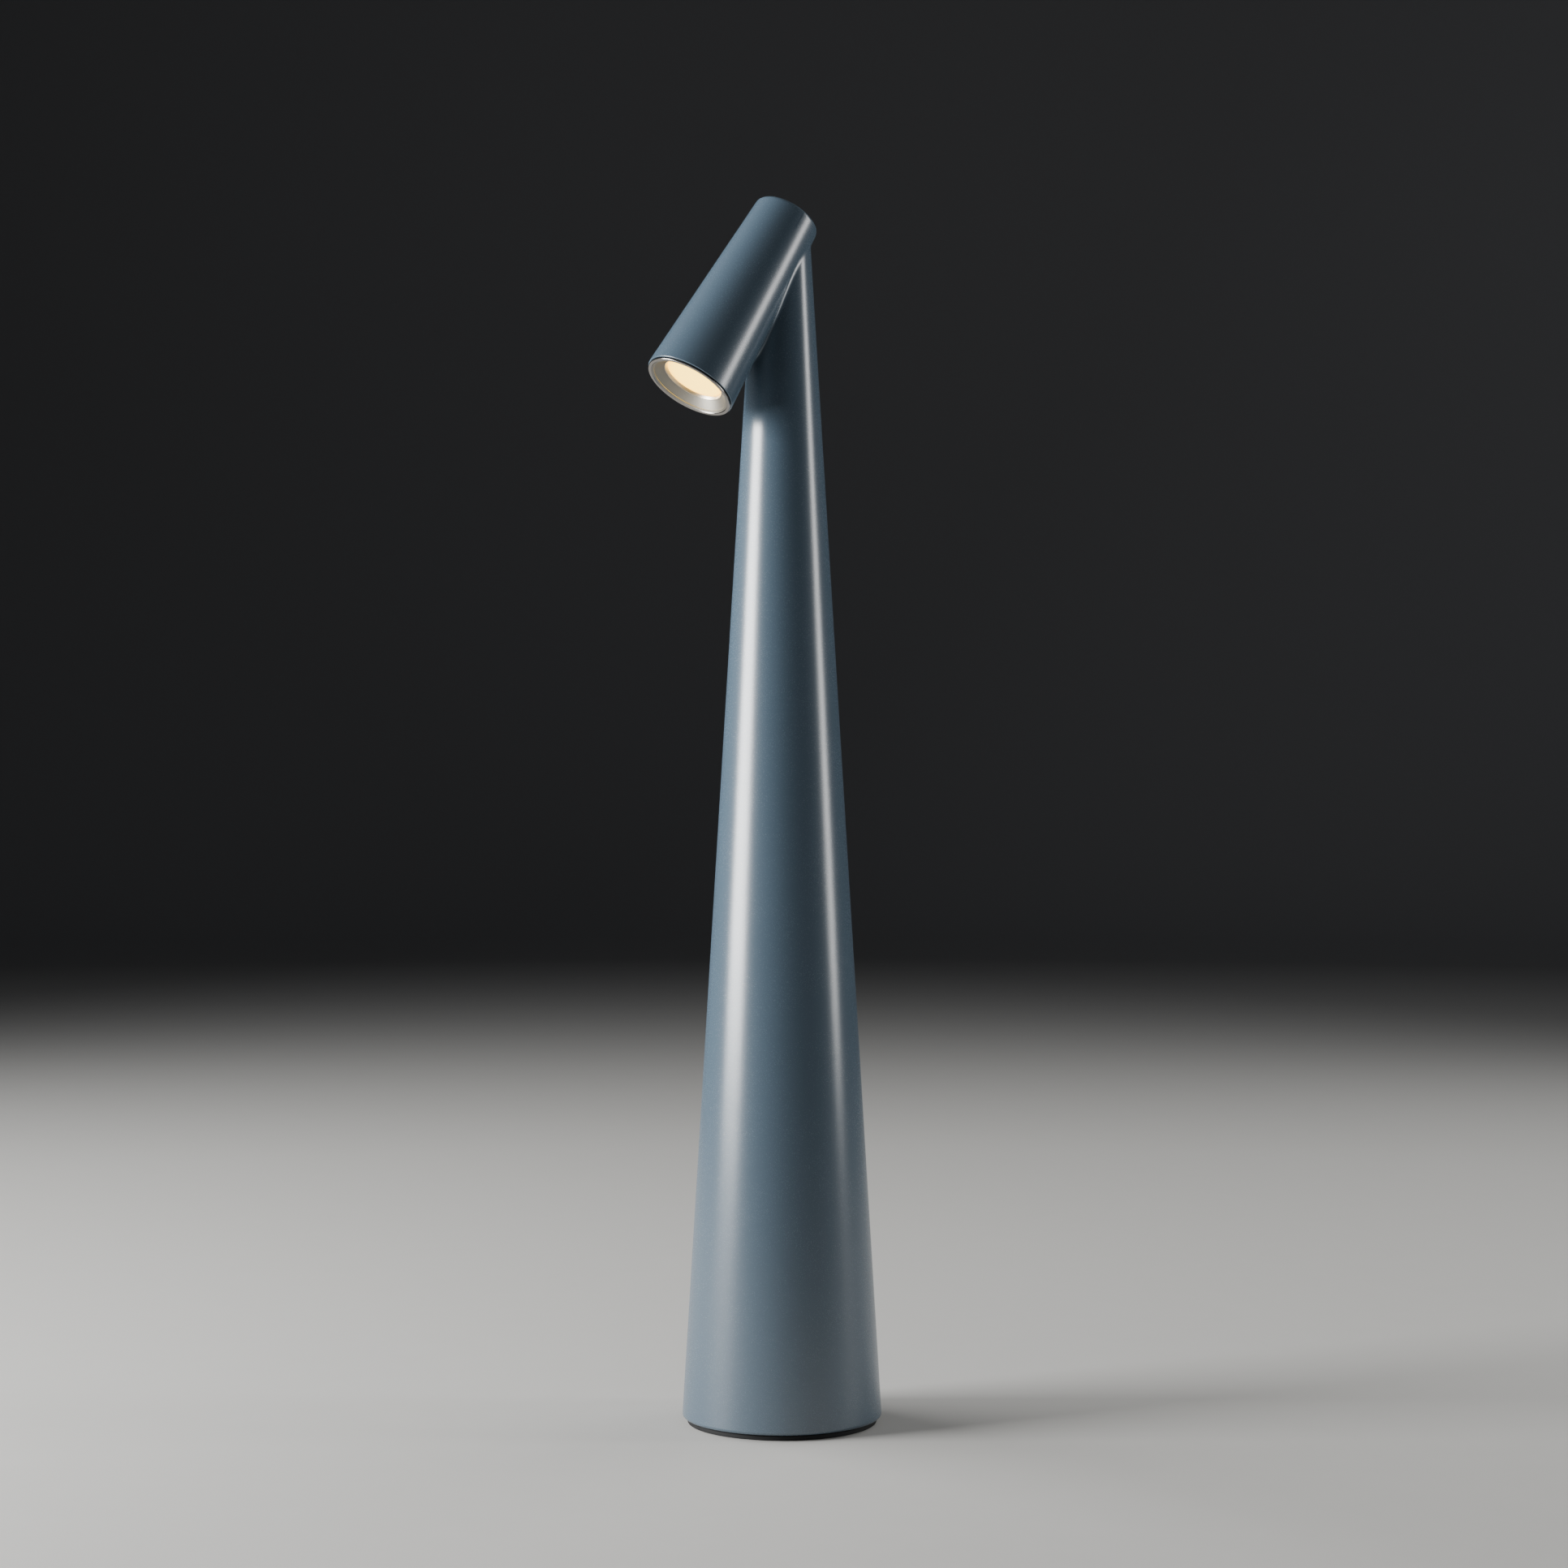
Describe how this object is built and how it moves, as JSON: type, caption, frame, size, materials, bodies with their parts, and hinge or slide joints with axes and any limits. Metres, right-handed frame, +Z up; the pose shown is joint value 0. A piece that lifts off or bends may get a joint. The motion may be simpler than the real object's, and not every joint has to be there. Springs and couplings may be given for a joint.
{
  "type": "desk lamp",
  "caption": "Cordless desk lamp: a tall tapered column with a tilted spot head cast in one shell, a charging socket and a push button at the back.",
  "frame": {"origin": "centre of the foot's underside, on the surface the lamp stands on", "axes": "+Z up along the column, -Y the way the head faces, +Y the side with the button and the charging socket, X = 0 the mirror plane"},
  "size_m": [0.07, 0.0872, 0.4291],
  "materials": {
    "shell_paint": "satin",
    "foot_rubber": "matte",
    "bezel_aluminium": "polished",
    "ring_aluminium": "satin",
    "opal_lens": "satin",
    "seal_rubber": "matte",
    "button_aluminium": "satin",
    "port_plastic": "matte",
    "port_steel": "satin",
    "light_pipe": "gloss",
    "plain_steel": "satin",
    "cradle_plastic": "matte",
    "cell_wrap": "satin",
    "circuit_board": "satin",
    "component_black": "matte",
    "white_plastic": "satin",
    "lead_jacket": "satin",
    "sink_aluminium": "matte",
    "phosphor": "satin"
  },
  "bodies": {
    "lamp": {"body_shell": "shell_paint", "foot_pad": "foot_rubber", "base_plate": "plain_steel", "ballast_weight": "plain_steel", "base_screw_1": "plain_steel", "base_screw_2": "plain_steel", "base_screw_3": "plain_steel", "battery_cradle": "cradle_plastic", "cradle_screw_1": "plain_steel", "cradle_screw_2": "plain_steel", "battery_cell_1": "cell_wrap", "battery_cell_2": "cell_wrap", "cell_cap": "cradle_plastic", "battery_lead": "lead_jacket", "control_board": "circuit_board", "board_screw_1": "plain_steel", "board_screw_2": "plain_steel", "usb_socket": "port_steel", "port_frame": "port_plastic", "charge_indicator": "phosphor", "charge_light_pipe": "light_pipe", "tact_switch": "component_black", "driver_inductor": "component_black", "driver_chip": "component_black", "lead_connector": "white_plastic", "head_lead": "lead_jacket", "heat_sink": "sink_aluminium", "led_board": "white_plastic", "led_screw_1": "plain_steel", "led_screw_2": "plain_steel", "led_emitter": "phosphor", "mixing_cup": "white_plastic", "lens_ring": "ring_aluminium", "diffuser_lens": "opal_lens", "front_bezel": "bezel_aluminium", "bezel_seal": "seal_rubber"},
    "power_button": {"power_button": "button_aluminium", "switch_plunger": "component_black"}
  },
  "joints": [
    {"name": "button_press", "type": "slide", "parent": "lamp", "child": "power_button", "axis": [0, -1, 0], "range_m": [0, 0.0006], "stiffness_N_per_m": 2500, "springref_m": -0.0002}
  ]
}
